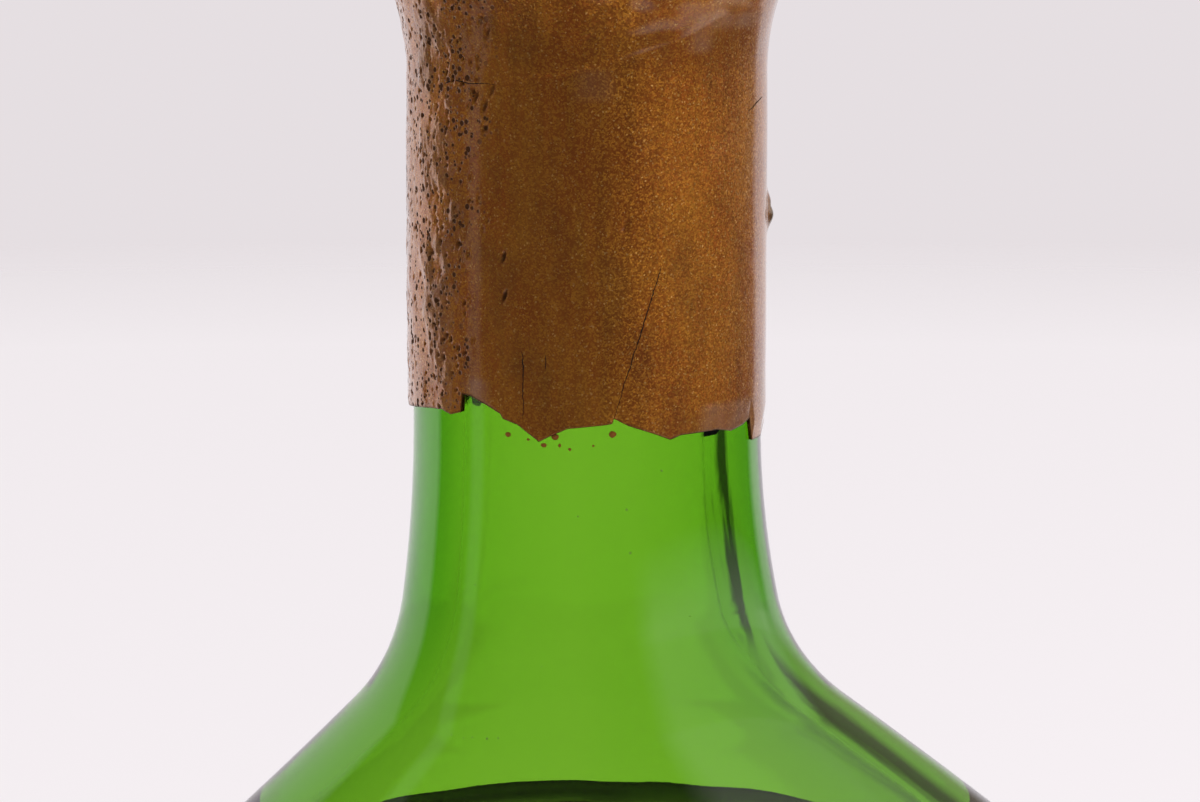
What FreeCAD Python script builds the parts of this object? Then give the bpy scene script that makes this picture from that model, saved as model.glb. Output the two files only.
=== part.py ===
"""Flat-sided armagnac bottle of green glass, its drink, and the wax that seals it.

Frame: millimetres, +Z up, the base on z = 0, the body centred on the Z axis.  Width runs along X
and depth along Y, with the front towards -Y.  The neck stands a little to the -X side of the body.

Pieces, one solid each:
  glass_bottle  blown shell: oval body, round neck, mouth ring, push-up in the base
  armagnac      the drink, up to its level, shaped by the inside of the glass
  wax_seal      wax dipped over ring and neck, its lower edge broken off all round
"""
import FreeCAD
import Part
import Sketcher
import math
import os

from FreeCAD import Vector

# Name, value in millimetres (angles in degrees, powers and shares plain), meaning.
SIZES = (
    ("glass_height", 258.8, "base ring to the top of the mouth ring"),
    ("body_width", 135.0, "widest, across the belly"),
    ("body_depth", 58.6, "thickest, front to back"),
    ("belly_height", 102.8, "height of the widest place"),
    ("base_width", 90.0, "width of the foot"),
    ("base_depth", 43.0, "depth of the foot"),
    ("heel_radius", 5.0, "rounding of the outer edge of the foot"),
    ("shoulder_straight", 14.4, "straight stretch between shoulder arc and neck flare"),
    ("flare_radius", 15.0, "hollow of the flare from shoulder to neck"),
    ("sweep_radius", 90.0, "long hollow by which the neck leaves the straight"),
    ("sweep_angle", 9.5, "turn of that long hollow, in degrees"),
    ("straight_neck", 45.6, "top of the mouth ring down to where the neck begins to widen"),
    ("neck_diameter", 28.7, "outside of the glass neck"),
    ("neck_offset", -3.7, "neck axis from the middle of the body, along X"),
    ("offset_power", 3.0, "how quickly the body comes under the neck"),
    ("face_power", 1.57, "how quickly the broad faces fill out below the neck"),
    ("ring_stands", 1.25, "mouth ring out from the neck"),
    ("ring_depth", 9.8, "height of the mouth ring"),
    ("ring_bevel", 1.0, "slope under the mouth ring"),
    ("lip_radius", 1.4, "rounding of the mouth"),
    ("bore", 20.0, "inside of the neck"),
    ("wall", 3.8, "glass of the body"),
    ("base_glass", 5.0, "glass between push-up and drink"),
    ("cavity_corner", 6.0, "rounding inside the foot"),
    ("push_up", 4.0, "height of the hollow under the foot"),
    ("foot_ring", 9.0, "breadth of the ring that the bottle stands on"),
    ("ullage", 81.6, "top of the mouth ring down to the drink"),
    ("wax_neck", 0.57, "wax on the neck"),
    ("wax_ring", 1.1, "wax round the mouth ring"),
    ("wax_top", 1.2, "wax over the mouth"),
    ("wax_round", 3.0, "rounding of the wax at the top"),
    ("wax_sag_radius", 20.0, "hollow of the wax that hangs under the ring"),
    ("wax_plug", 3.0, "reach of the wax into the bore"),
    ("wax_skirt", 46.8, "top of the mouth ring down to the lowest point of the broken edge"),
    ("wax_lean", 0.25, "rise of the broken faces for each millimetre outwards"),
)

# Broken lower edge of the wax: bearing from the front towards +X in degrees, rise above its lowest
# point in millimetres.
FRACTURE = (
    (-80, 2.5), (-59, 3.0), (-52, 3.1), (-48, 2.8), (-43.5, 3.1), (-43, 4.6), (-39, 4.5), (-33, 3.9),
    (-28, 3.3), (-27, 2.9), (-22, 2.5), (-15, 1.2), (-12, 1.6), (-6, 2.3), (6, 2.6), (8, 2.7),
    (8.5, 3.1), (13, 2.5), (21, 1.8), (27, 1.2), (31, 1.5), (46, 1.6), (53, 1.3), (60, 1.6),
    (65, 2.0), (67, 0.1), (77, 0.1), (82, 0.8), (96, 1.6), (110, 1.1), (118, 2.2), (135, 2.8),
    (150, 1.5), (163, 1.9), (170, 3.0), (185, 2.4), (200, 1.2), (212, 2.0), (230, 2.6), (245, 1.4),
    (258, 2.0), (270, 1.7),
)
# Ovals that the loft passes through along each arc of the outline.
FLANK_STEPS = 5
SHOULDER_STEPS = 6
FLARE_STEPS = 6
SWEEP_STEPS = 2
FACE_LEAN = 0.75  # the broad faces lean about three quarters as much as the sides
FILLET_SHARE = 0.8  # largest fillet, as a share of the tightest bend of the edge it runs round
SAME = 1e-4  # points and heights nearer than this are the same

doc = FreeCAD.newDocument("armagnac_bottle")


def add(kind, name, expressions=None, **properties):
    """One document object, its sizes bound to the sheet by expressions."""
    item = doc.addObject(kind, name)
    for key, value in properties.items():
        setattr(item, key, value)
    for key, text in (expressions or {}).items():
        item.setExpression(key, text)
    return item


def make_sheet():
    """The driving sizes, one row each: alias, value, meaning."""
    sheet = doc.addObject("Spreadsheet::Sheet", "Sizes")
    for row, (alias, value, meaning) in enumerate(SIZES, start=1):
        sheet.set(f"A{row}", alias)
        sheet.set(f"B{row}", str(value))
        sheet.setAlias(f"B{row}", alias)
        sheet.set(f"C{row}", meaning)
    doc.recompute()
    return sheet


def make_outline():
    """What follows from the sizes: the arcs of the front outline all meet at one slope."""
    outline = doc.addObject("App::VarSet", "Outline")
    drop = "(Sizes.sweep_radius - Sizes.flare_radius)"
    derived = (
        ("sweep", "Angle", "Sizes.sweep_angle * 1deg"),
        ("neck_half", "Float", "Sizes.neck_diameter / 2"),
        ("body_half", "Float", "Sizes.body_width / 2"),
        ("body_deep", "Float", "Sizes.body_depth / 2"),
        ("neck_start", "Float", "Sizes.glass_height - Sizes.straight_neck"),
        ("wax_edge", "Float", "Sizes.glass_height - Sizes.wax_skirt"),
        ("ring_half", "Float", "neck_half + Sizes.ring_stands"),
        ("reach", "Float", f"body_half - neck_half - {drop} * (1 - cos(sweep))"),
        ("fall", "Float", f"neck_start - Sizes.belly_height - {drop} * sin(sweep)"),
        ("slope", "Angle", "2 * atan(reach / (fall + Sizes.shoulder_straight))"),
        ("shoulder_radius", "Float",
         "(fall - Sizes.shoulder_straight * cos(slope)) / sin(slope) - Sizes.flare_radius"),
        ("foot_inset", "Float", "body_half - Sizes.base_width / 2"),
        ("flank_radius", "Float", "(Sizes.belly_height ^ 2 + foot_inset ^ 2) / (2 * foot_inset)"),
        ("neck_wall", "Float", "neck_half - Sizes.bore / 2"),
        ("cavity_floor", "Float", "Sizes.push_up + Sizes.base_glass"),
        ("wax_half", "Float", "neck_half + Sizes.wax_neck"),
        ("ring_foot", "Float", "Sizes.glass_height - Sizes.ring_depth"),
    )
    for name, kind, text in derived:
        outline.addProperty(f"App::Property{kind}", name)
        outline.setExpression(name, text)
    doc.recompute()


def steps(count):
    """Even shares from 0 to 1, both ends in."""
    return [index / count for index in range(count + 1)]


def station(name, lean, half, height, side, inset):
    """One oval through the bottle, square to Z, moved `inset` into the glass.

    lean is the slope of the outline there, half and height a point of the outer outline, and side
    is 1 above the belly and -1 below it.
    """
    share = f"((Outline.body_half - ({half})) / (Outline.body_half - Outline.neck_half))"
    if side > 0:
        deep = (f"Outline.body_deep - (Outline.body_deep - Outline.neck_half)"
                f" * {share} ^ Sizes.face_power")
        across = f"Sizes.neck_offset * {share} ^ Sizes.offset_power"
    else:
        deep = (f"Outline.body_deep - (Outline.body_deep - Sizes.base_depth / 2)"
                f" * (Outline.body_half - ({half})) / Outline.foot_inset")
        across = "0"
    return add("Part::Ellipse", name, {
        "MajorRadius": f"({half}) - ({inset}) * cos({lean})",
        "MinorRadius": f"{deep} - ({inset}) * cos({FACE_LEAN} * ({lean}))",
        "Placement.Base.x": across,
        "Placement.Base.z": f"({height}) - {side} * ({inset}) * sin({lean})",
    })


def neck_circle(name, inset, height):
    """The round end of the shell, on the neck axis."""
    return add("Part::Circle", name, {
        "Radius": f"Outline.neck_half - ({inset})",
        "Placement.Base.x": "Sizes.neck_offset",
        "Placement.Base.z": height,
    })


def shell_loft(name, wall, neck_wall, floor):
    """The oval body as one smooth loft from the floor up to the straight neck.

    The outer skin has no wall; the inside is the same skin moved in by the wall, which thickens
    through the flare to that of the neck.
    """
    sections = []

    def oval(lean, half, height, side, inset):
        label = f"{name}_{len(sections):02d}"
        sections.append(station(label, lean, half, height, side, inset))

    for share in steps(FLANK_STEPS):
        turn = f"(asin((Sizes.belly_height - {floor}) / (Outline.flank_radius - {wall})) * {1 - share})"
        oval(turn, f"Outline.body_half - Outline.flank_radius * (1 - cos({turn}))",
             f"Sizes.belly_height - Outline.flank_radius * sin({turn})", -1, wall)
    for share in steps(SHOULDER_STEPS)[1:]:
        turn = f"(Outline.slope * {share})"
        oval(turn, f"Outline.body_half - Outline.shoulder_radius * (1 - cos({turn}))",
             f"Sizes.belly_height + Outline.shoulder_radius * sin({turn})", 1, wall)
    flare_half = ("Outline.neck_half + (Sizes.sweep_radius - Sizes.flare_radius)"
                  " * (1 - cos(Outline.sweep))")
    flare_top = ("Outline.neck_start - (Sizes.sweep_radius - Sizes.flare_radius)"
                 " * sin(Outline.sweep)")
    for share in steps(FLARE_STEPS):
        turn = f"(Outline.slope + (Outline.sweep - Outline.slope) * {share})"
        oval(turn, f"{flare_half} + Sizes.flare_radius * (1 - cos({turn}))",
             f"{flare_top} - Sizes.flare_radius * sin({turn})", 1,
             f"{wall} + ({neck_wall} - {wall}) * {share}")
    for share in steps(SWEEP_STEPS)[1:-1]:
        turn = f"(Outline.sweep * {1 - share})"
        oval(turn, f"Outline.neck_half + Sizes.sweep_radius * (1 - cos({turn}))",
             f"Outline.neck_start - Sizes.sweep_radius * sin({turn})", 1, neck_wall)
    sections.append(neck_circle(f"{name}_neck", neck_wall, "Outline.neck_start"))
    return add("Part::Loft", name, Sections=sections, Solid=True, Ruled=False)


def arc_between(start, end, radius, side):
    """The short arc between two corners, its centre on the left (side 1) or the right (side -1).

    It runs anticlockwise, as sketches want, so that one with its centre on the right runs back.
    """
    chord = end - start
    left = Vector(-chord.y, chord.x, 0).normalize()
    middle = (start + end) / 2
    centre = middle + left * side * math.sqrt(radius ** 2 - (chord.Length / 2) ** 2)
    first, last = (start, end) if side > 0 else (end, start)
    return Part.Arc(first, centre - left * side * radius, last)


def revolved(name, corners, curves):
    """A body turned about the neck axis from its half profile.

    corners are pairs of expressions, distance from the axis and height, anticlockwise from the
    axis.  curves gives, for a corner at which a curved stretch starts, its radius and its side.
    """
    values = doc.addObject("App::VarSet", f"{name}_values")
    texts = {f"out{index}": out for index, (out, up) in enumerate(corners)}
    texts |= {f"up{index}": up for index, (out, up) in enumerate(corners)}
    texts |= {f"round{index}": radius for index, (radius, side) in curves.items()}
    for key, text in texts.items():
        values.addProperty("App::PropertyFloat", key)
        values.setExpression(key, text)
    doc.recompute()

    body = doc.addObject("PartDesign::Body", name)
    sketch = body.newObject("Sketcher::SketchObject", f"{name}_profile")
    plane = next(item for item in body.Origin.OriginFeatures if item.Role == "XZ_Plane")
    sketch.AttachmentSupport = [(plane, "")]
    sketch.MapMode = "FlatFace"
    places = [Vector(getattr(values, f"out{index}"), getattr(values, f"up{index}"), 0)
              for index in range(len(corners))]
    ends = []
    for index, start in enumerate(places):
        end = places[(index + 1) % len(places)]
        if index in curves:
            radius = getattr(values, f"round{index}")
            sketch.addGeometry(arc_between(start, end, radius, curves[index][1]))
        else:
            sketch.addGeometry(Part.LineSegment(start, end))
        forwards = sketch.Geometry[index].StartPoint.distanceToPoint(start) < SAME
        ends.append((1, 2) if forwards else (2, 1))

    def hold(key, kind, *where):
        number = sketch.addConstraint(Sketcher.Constraint(kind, *where, getattr(values, key)))
        sketch.setExpression(f"Constraints[{number}]", f"{name}_values.{key}")

    for index in range(len(places)):
        after = (index + 1) % len(places)
        sketch.addConstraint(Sketcher.Constraint(
            "Coincident", index, ends[index][1], after, ends[after][0]))
        hold(f"out{index}", "DistanceX", -1, 1, index, ends[index][0])
        hold(f"up{index}", "DistanceY", -1, 1, index, ends[index][0])
    for index in curves:
        hold(f"round{index}", "Radius", index)
    turn = body.newObject("PartDesign::Revolution", f"{name}_turn")
    turn.Profile = sketch
    turn.ReferenceAxis = (sketch, ["V_Axis"])
    turn.Angle = 360
    body.setExpression("Placement.Base.x", "Sizes.neck_offset")
    return body


def rounded_floor(name, loft, radius):
    """Fillet round the flat floor of a loft, held within the tightest bend of that floor."""
    doc.recompute()
    floor = loft.Sections[0]
    level = floor.Placement.Base.z
    tightest = floor.MinorRadius.Value ** 2 / floor.MajorRadius.Value
    radius = min(radius, FILLET_SHARE * tightest)
    rim = [number for number, edge in enumerate(loft.Shape.Edges, start=1)
           if abs(edge.BoundBox.ZMin - level) < SAME and abs(edge.BoundBox.ZMax - level) < SAME]
    return add("Part::Fillet", name, Base=loft, Edges=[(number, radius, radius) for number in rim])


def make_glass(sheet):
    """The blown shell: loft and turned finish, less cavity, bore and push-up."""
    skin = rounded_floor("skin_heel", shell_loft("skin", "0", "0", "0"), sheet.heel_radius)
    finish = revolved("finish", (
        ("0", "Outline.neck_start"),
        ("Outline.neck_half", "Outline.neck_start"),
        ("Outline.neck_half", "Outline.ring_foot"),
        ("Outline.ring_half", "Outline.ring_foot + Sizes.ring_bevel"),
        ("Outline.ring_half", "Sizes.glass_height - Sizes.lip_radius"),
        ("Outline.ring_half - Sizes.lip_radius", "Sizes.glass_height"),
        ("0", "Sizes.glass_height"),
    ), {4: ("Sizes.lip_radius", 1)})
    blank = add("Part::Fuse", "blank", Base=skin, Tool=finish)

    inside = shell_loft("inside", "Sizes.wall", "Outline.neck_wall", "Outline.cavity_floor")
    cavity = rounded_floor("cavity", inside, sheet.cavity_corner)
    bore = add("Part::Cylinder", "bore_hole", {
        "Radius": "Sizes.bore / 2",
        "Height": "Sizes.glass_height + Sizes.wax_top - Outline.neck_start",
        "Placement.Base.x": "Sizes.neck_offset",
        "Placement.Base.z": "Outline.neck_start",
    })
    push_up = add("Part::Ellipsoid", "push_up_hollow", {
        "Radius1": "Sizes.push_up",
        "Radius2": "Sizes.base_width / 2 - Sizes.foot_ring",
        "Radius3": "Sizes.base_depth / 2 - Sizes.foot_ring",
    }, Angle1=-90, Angle2=90)
    hollow = add("Part::MultiFuse", "hollow", Shapes=[cavity, bore, push_up])
    add("Part::Cut", "glass_bottle", Base=blank, Tool=hollow, Label="glass_bottle")
    return blank, cavity


def make_drink(cavity):
    """The drink: what the cavity holds below the level."""
    headspace = add("Part::Box", "headspace", {
        "Length": "Sizes.body_width",
        "Width": "Sizes.body_depth",
        "Height": "Sizes.glass_height",
        "Placement.Base.x": "-Outline.body_half",
        "Placement.Base.y": "-Outline.body_deep",
        "Placement.Base.z": "Sizes.glass_height - Sizes.ullage",
    })
    add("Part::Cut", "armagnac", Base=cavity, Tool=headspace, Label="armagnac")


def broken_edge(sheet):
    """Everything below the broken edge of the wax: a ring whose top follows the fracture."""
    inner = sheet.neck_diameter / 4
    outer = sheet.neck_diameter
    face = sheet.neck_diameter / 2
    under = doc.Outline.wax_edge - sheet.neck_diameter
    columns = []
    for bearing, rise in FRACTURE:
        away = Vector(math.sin(math.radians(bearing)), -math.cos(math.radians(bearing)), 0)
        columns.append([
            away * reach + Vector(0, 0, height)
            for reach in (inner, outer)
            for height in (under, doc.Outline.wax_edge + rise + (reach - face) * sheet.wax_lean)
        ])
    faces = []
    for here, there in zip(columns, columns[1:] + columns[:1]):
        inner_low, inner_top, outer_low, outer_top = here
        next_inner_low, next_inner_top, next_outer_low, next_outer_top = there
        for ring in (
            (inner_low, next_inner_low, next_inner_top, inner_top),
            (outer_low, outer_top, next_outer_top, next_outer_low),
            (inner_low, outer_low, next_outer_low, next_inner_low),
            (inner_top, next_inner_top, next_outer_top),
            (inner_top, next_outer_top, outer_top),
        ):
            faces.append(Part.Face(Part.makePolygon(list(ring) + [ring[0]])))
    solid = Part.Solid(Part.Shell(faces))
    if solid.Volume < 0:
        solid.reverse()
    cutter = doc.addObject("Part::Feature", "broken_edge")
    cutter.Shape = solid
    cutter.setExpression("Placement.Base.x", "Sizes.neck_offset")
    return cutter


def make_wax(sheet, blank):
    """The dipped wax: turned, hollowed by the glass it covers, plugged and broken off below."""
    wax_reach = "(Outline.ring_half + Sizes.wax_ring)"
    gain = f"({wax_reach} - Outline.wax_half)"
    sag = f"sqrt(2 * Sizes.wax_sag_radius * {gain} - {gain} ^ 2)"
    top = "(Sizes.glass_height + Sizes.wax_top)"
    dipped = revolved("dipped", (
        ("0", "Outline.wax_edge - Sizes.wax_round"),
        ("Outline.wax_half", "Outline.wax_edge - Sizes.wax_round"),
        ("Outline.wax_half", f"Outline.ring_foot + Sizes.ring_bevel - {sag}"),
        (wax_reach, "Outline.ring_foot + Sizes.ring_bevel"),
        (wax_reach, f"{top} - Sizes.wax_round"),
        (f"{wax_reach} - Sizes.wax_round", top),
        ("0", top),
    ), {2: ("Sizes.wax_sag_radius", -1), 4: ("Sizes.wax_round", 1)})
    cap = add("Part::Cut", "cap", Base=dipped, Tool=blank)
    plug = add("Part::Cylinder", "plug", {
        "Radius": "Sizes.bore / 2",
        "Height": "Sizes.wax_plug + Sizes.wax_top / 2",
        "Placement.Base.x": "Sizes.neck_offset",
        "Placement.Base.z": "Sizes.glass_height - Sizes.wax_plug",
    })
    whole = add("Part::Fuse", "whole_wax", Base=cap, Tool=plug)
    add("Part::Cut", "wax_seal", Base=whole, Tool=broken_edge(sheet), Label="wax_seal")


def write_parts(names):
    """Check every object and each piece, then write the pieces."""
    failed = [item.Name for item in doc.Objects if {"Invalid", "Error"} & set(item.State)]
    if failed:
        raise RuntimeError("failed objects: " + ", ".join(failed))
    pieces = {}
    for name in names:
        shape = doc.getObject(name).Shape
        if shape.isNull() or not shape.isValid() or len(shape.Solids) != 1:
            raise RuntimeError(f"{name} is not one sound solid")
        pieces[name] = shape.Solids[0]
    os.makedirs("parts", exist_ok=True)
    for name, solid in pieces.items():
        solid.exportStep(f"parts/{name}.step")
        box = solid.optimalBoundingBox(True, False)
        print(f"{name}: {solid.Volume / 1000:.1f} ml, x {box.XMin:.2f} to {box.XMax:.2f},"
              f" y {box.YMin:.2f} to {box.YMax:.2f}, z {box.ZMin:.2f} to {box.ZMax:.2f}")


sizes = make_sheet()
make_outline()
glass_blank, glass_cavity = make_glass(sizes)
make_drink(glass_cavity)
make_wax(sizes, glass_blank)
doc.recompute()
write_parts(("glass_bottle", "armagnac", "wax_seal"))
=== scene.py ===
"""Looks of the flat armagnac bottle: green glass, dark spirit, bronze wax broken off at the neck."""
import math

import bpy
import numpy as np
from bpy.props import FloatProperty, FloatVectorProperty, PointerProperty
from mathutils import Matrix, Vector, noise


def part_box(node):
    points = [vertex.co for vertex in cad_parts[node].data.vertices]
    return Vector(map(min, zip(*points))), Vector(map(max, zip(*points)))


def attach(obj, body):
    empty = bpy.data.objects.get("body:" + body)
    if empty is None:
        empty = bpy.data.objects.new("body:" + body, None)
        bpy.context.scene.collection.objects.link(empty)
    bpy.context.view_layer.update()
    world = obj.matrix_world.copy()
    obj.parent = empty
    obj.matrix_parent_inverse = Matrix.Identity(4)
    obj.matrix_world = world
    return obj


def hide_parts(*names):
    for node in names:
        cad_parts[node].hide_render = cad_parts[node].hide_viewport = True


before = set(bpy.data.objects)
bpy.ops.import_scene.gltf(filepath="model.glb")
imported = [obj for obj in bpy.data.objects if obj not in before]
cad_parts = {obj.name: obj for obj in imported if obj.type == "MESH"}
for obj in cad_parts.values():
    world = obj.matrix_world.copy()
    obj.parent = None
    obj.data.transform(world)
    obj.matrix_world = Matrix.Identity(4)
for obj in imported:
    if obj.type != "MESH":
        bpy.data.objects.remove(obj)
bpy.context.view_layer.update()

bl_info = {
    "name": "Wax-sealed Flask",
    "version": (1, 0, 0),
    "blender": (4, 5, 0),
    "location": "View3D > Sidebar > Flask",
    "description": "Dresses the packed flask with glass, spirit, sealing wax and a plain studio",
    "category": "Object",
}

MM = 0.001
_, GLASS_HIGH = (Vector(corner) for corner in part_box("glass_bottle"))
DRINK_LOW, DRINK_HIGH = (Vector(corner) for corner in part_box("armagnac"))
WAX_LOW, WAX_HIGH = (Vector(corner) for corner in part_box("wax_seal"))
NECK_X = (WAX_LOW.x + WAX_HIGH.x) / 2
AROUND = 224             # points in each level ring of the glass and the spirit
SEED = 11


def length(name, description, default):
    """A property that holds a size."""
    return FloatProperty(name=name, description=description, default=default, min=0.0,
                         subtype="DISTANCE", unit="LENGTH", precision=5)


def turn(name, description, degrees):
    """A property that holds an angle."""
    return FloatProperty(name=name, description=description, default=math.radians(degrees),
                         subtype="ANGLE", unit="ROTATION")


def amount(name, description, default):
    """A property that holds a plain number."""
    return FloatProperty(name=name, description=description, default=default, min=0.0)


def tint(name, description, default):
    """A property that holds a linear colour."""
    return FloatVectorProperty(name=name, description=description, default=default, size=3,
                               min=0.0, max=1.0, subtype="COLOR")


class FlaskGlass(bpy.types.PropertyGroup):
    """Sizes and colour of the blown glass."""
    belly_height: length("Belly height", "Height of the widest place", 102.8 * MM)
    foot_width: length("Foot width", "Width of the foot", 90 * MM)
    foot_depth: length("Foot depth", "Depth of the foot", 43 * MM)
    heel_radius: length("Heel radius", "Rounding of the foot", 5 * MM)
    corner_radius: length("Corner radius", "Rounding inside the foot", 6 * MM)
    push_up: length("Push-up", "Height of the hollow under the foot", 4 * MM)
    foot_ring: length("Foot ring", "Breadth of the ring it stands on", 9 * MM)
    shoulder_straight: length("Shoulder straight", "Between shoulder arc and flare", 14.4 * MM)
    flare_radius: length("Flare radius", "Hollow from shoulder to neck", 15 * MM)
    sweep_radius: length("Sweep radius", "Long hollow below the straight neck", 90 * MM)
    sweep_angle: turn("Sweep angle", "Turn of the long hollow", 9.5)
    straight_neck: length("Straight neck", "Mouth down to where the neck widens", 45.6 * MM)
    neck_radius: length("Neck radius", "Outside of the glass neck", 14.35 * MM)
    bore_radius: length("Bore radius", "Inside of the neck", 10 * MM)
    ring_stands: length("Ring", "Mouth ring out from the neck", 1.25 * MM)
    ring_depth: length("Ring depth", "Height of the mouth ring", 9.8 * MM)
    ring_bevel: length("Ring bevel", "Slope under the mouth ring", 1 * MM)
    lip_radius: length("Lip radius", "Rounding of the mouth", 1.4 * MM)
    wall: length("Wall", "Glass of the body", 3.8 * MM)
    flute: length("Unevenness", "Unevenness of the inside wall", 0.12 * MM)
    density: amount("Depth of colour", "Absorption for each metre of glass", 470.0)
    colour: tint("Glass colour", "What passes through the glass", (0.572, 0.828, 0.0255))
    dust: tint("Dust", "Specks on the glass", (0.10, 0.12, 0.05))


class FlaskDrink(bpy.types.PropertyGroup):
    """The spirit."""
    overlap: length("Overlap", "Reach into the wall, so that no air shows", 0.15 * MM)
    meniscus: length("Meniscus", "Climb of the surface at the wall", 1.4 * MM)
    density: amount("Depth of colour", "Absorption for each metre of spirit", 75.0)
    colour: tint("Spirit colour", "What passes through the spirit", (0.84, 0.55, 0.10))


class FlaskWax(bpy.types.PropertyGroup):
    """Sizes and colours of the dipped wax."""
    on_neck: length("On the neck", "Wax on the neck", 0.57 * MM)
    on_ring: length("On the ring", "Wax round the mouth ring", 1.1 * MM)
    top_round: length("Top rounding", "Rounding of the wax at the top", 3 * MM)
    sag_radius: length("Sag radius", "Hollow of the wax under the ring", 20 * MM)
    seat: length("Seat", "Reach of the wax into the glass", 0.1 * MM)
    grain: length("Mesh step", "Distance between vertices of the smooth wax", 0.24 * MM)
    fine_grain: length("Fine mesh step", "Distance between vertices of the rough wax", 0.11 * MM)
    back_grain: length("Back mesh step", "Distance between vertices at the back", 0.6 * MM)
    row_grain: length("Row step", "Distance between rows of vertices up the wax", 0.22 * MM)
    crack: length("Crack", "Width of the hairline cracks", 0.12 * MM)
    pit_depth: length("Pit depth", "Depth of the pits in the rough side", 0.26 * MM)
    brown: tint("Brown", "Body colour of the wax", (0.315, 0.056, 0.006))
    gold: tint("Gold", "Colour of the mica", (1.0, 0.49, 0.05))
    glint: tint("Glint", "Colour of the brightest flakes", (1.0, 0.62, 0.2))
    # The dull crust's own colour, also laid on the rims of the dimples as a painted highlight.
    crust_and_rim_highlight: tint("Crust and rim highlight", "Dull crust and rims of pits on the rough side", (0.30, 0.21, 0.15))
    # Painted reflection: pale patches where the soft boxes would reflect in the wax.
    painted_reflection: tint("Painted reflection", "Pale haze in a few places", (0.56, 0.36, 0.27))
    # Smudges are the wax's own darker tone; deep in the pits and dimples this colour is painted shade.
    smudge_and_pit_shade: tint("Umber", "Smudges, and deep in the pits", (0.085, 0.034, 0.014))
    # Painted shade: the dark in the hairline cracks and along the broken edge.
    crack_and_edge_shade: tint("Crack and edge shade", "Cracks and the broken edge", (0.014, 0.008, 0.005))
    drop: tint("Drop", "The small drop at the right", (0.09, 0.075, 0.045))
    crumb: tint("Crumb", "Crumbs on the glass", (0.17, 0.062, 0.010))


class FlaskStudio(bpy.types.PropertyGroup):
    """The stage, its light and the camera."""
    pale: tint("Floor", "Colour of the floor", (0.895, 0.855, 0.888))
    wall_pale: tint("Wall", "Colour beyond the floor", (0.787, 0.737, 0.760))
    plain: tint("Plain light", "Light that falls on the flask from all round", (0.95, 0.94, 0.93))
    key: tint("Key", "The large soft box at the right, in reflections", (1.0, 0.97, 0.93))
    dim: tint("Dim", "The dim room behind the camera, in reflections", (0.07, 0.066, 0.062))
    taupe: tint("Taupe", "The side of the room beyond the backdrop, in reflections",
                (0.42, 0.37, 0.29))
    dusk: tint("Gap", "The unlit gap between backdrop and soft box", (0.075, 0.065, 0.05))
    fade_start: length("Fade start", "Where the floor starts to fade into the wall", 1.71)
    floor_radius: length("Floor radius", "Size of the floor", 2.13)
    lamp_bearing: turn("Lamp bearing", "Place of the lamp from the back towards the right", 110)
    lamp_away: length("Lamp distance", "Lamp from the middle, along the floor", 1.4)
    lamp_height: length("Lamp height", "Lamp above the floor", 0.9)
    lamp_aim: length("Lamp aim", "Height at which the lamp points", 0.2)
    lamp_wide: length("Lamp width", "Width of the lamp", 1.2)
    lamp_tall: length("Lamp tallness", "Other side of the lamp", 0.9)
    lamp_power: amount("Lamp power", "Watts", 8.0)
    camera_distance: length("Camera distance", "Camera to the middle of the view", 0.4)
    camera_lift: turn("Camera lift", "Camera above the horizontal", 8)
    lens: amount("Lens", "Focal length in millimetres", 145.2)
    view_height: length("View height", "Height of the middle of the view", 214.5 * MM)
    view_side: FloatProperty(name="View side", description="Middle of the view from the middle plane",
                             default=-2.63 * MM, subtype="DISTANCE", unit="LENGTH", precision=5)


# ---------------------------------------------------------------- glass and spirit

# Rows of points in each stretch of the wall, from the foot up to the straight neck.
ROWS = {"flank": 26, "shoulder": 30, "straight": 9, "flare": 26, "sweep": 14}
FOOT_ROWS = 10
DEPTH_POWER = 1.57       # how fast the depth shrinks from belly to neck, for the width lost
SHIFT_POWER = 3          # how late the middle moves over to the neck's
FACE_LEAN = 0.75         # lean of the broad faces, as a share of the lean of the sides
CLEAR = 1 * MM           # from a rounded foot to the next row above it
LEVEL_GAP = 0.3 * MM     # from the last row in the spirit to its surface
MENISCUS_FALL = 1.1      # distance from the wall in mm over which the climb falls to a third
MENISCUS_STEPS = (0.1, 0.3, 0.6, 1.0, 1.5, 2.2, 3.2, 4.5, 7.0)
LIP_TURNS = (22, 45, 68, 90)
PLAIN_ROWS = 3           # rows at the top of the bore that stay round

# Unevenness of the inside: waves around, phase, radians for each mm of height, strength.
WAVES = ((3, 0.6, 0.010, 0.45), (7, 2.1, 0, 0.30), (13, -0.8, 0.02, 0.16), (5, 0, 0.09, 0.20),
         (1, 0, 0.35, 0.05))


def mesh_of(name, points, faces):
    """A mesh with these points and faces."""
    mesh = bpy.data.meshes.new(name)
    mesh.from_pydata([tuple(point) for point in points], [], faces)
    mesh.update()
    return mesh


def skin(name, rings, close_low, close_high):
    """A smooth mesh through rings of points, with a point at either end where one is given."""
    count = len(rings[0])
    points = [point for ring in rings for point in ring]
    faces = []
    for low in range(len(rings) - 1):
        for side in range(count):
            after = (side + 1) % count
            faces.append((low * count + side, low * count + after,
                          (low + 1) * count + after, (low + 1) * count + side))
    if close_low is not None:
        points.append(close_low)
        faces += [(len(points) - 1, (side + 1) % count, side) for side in range(count)]
    if close_high is not None:
        points.append(close_high)
        top = (len(rings) - 1) * count
        faces += [(len(points) - 1, top + side, top + (side + 1) % count) for side in range(count)]
    mesh = mesh_of(name, points, faces)
    mesh.shade_smooth()
    return mesh


def place(name, mesh, material, nodes=()):
    """Puts a mesh in the scene as a piece of the object, in place of its solids."""
    piece = bpy.data.objects.new(name, mesh)
    bpy.context.scene.collection.objects.link(piece)
    mesh.materials.append(material)
    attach(piece, "root")
    if nodes:
        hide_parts(*nodes)


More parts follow.
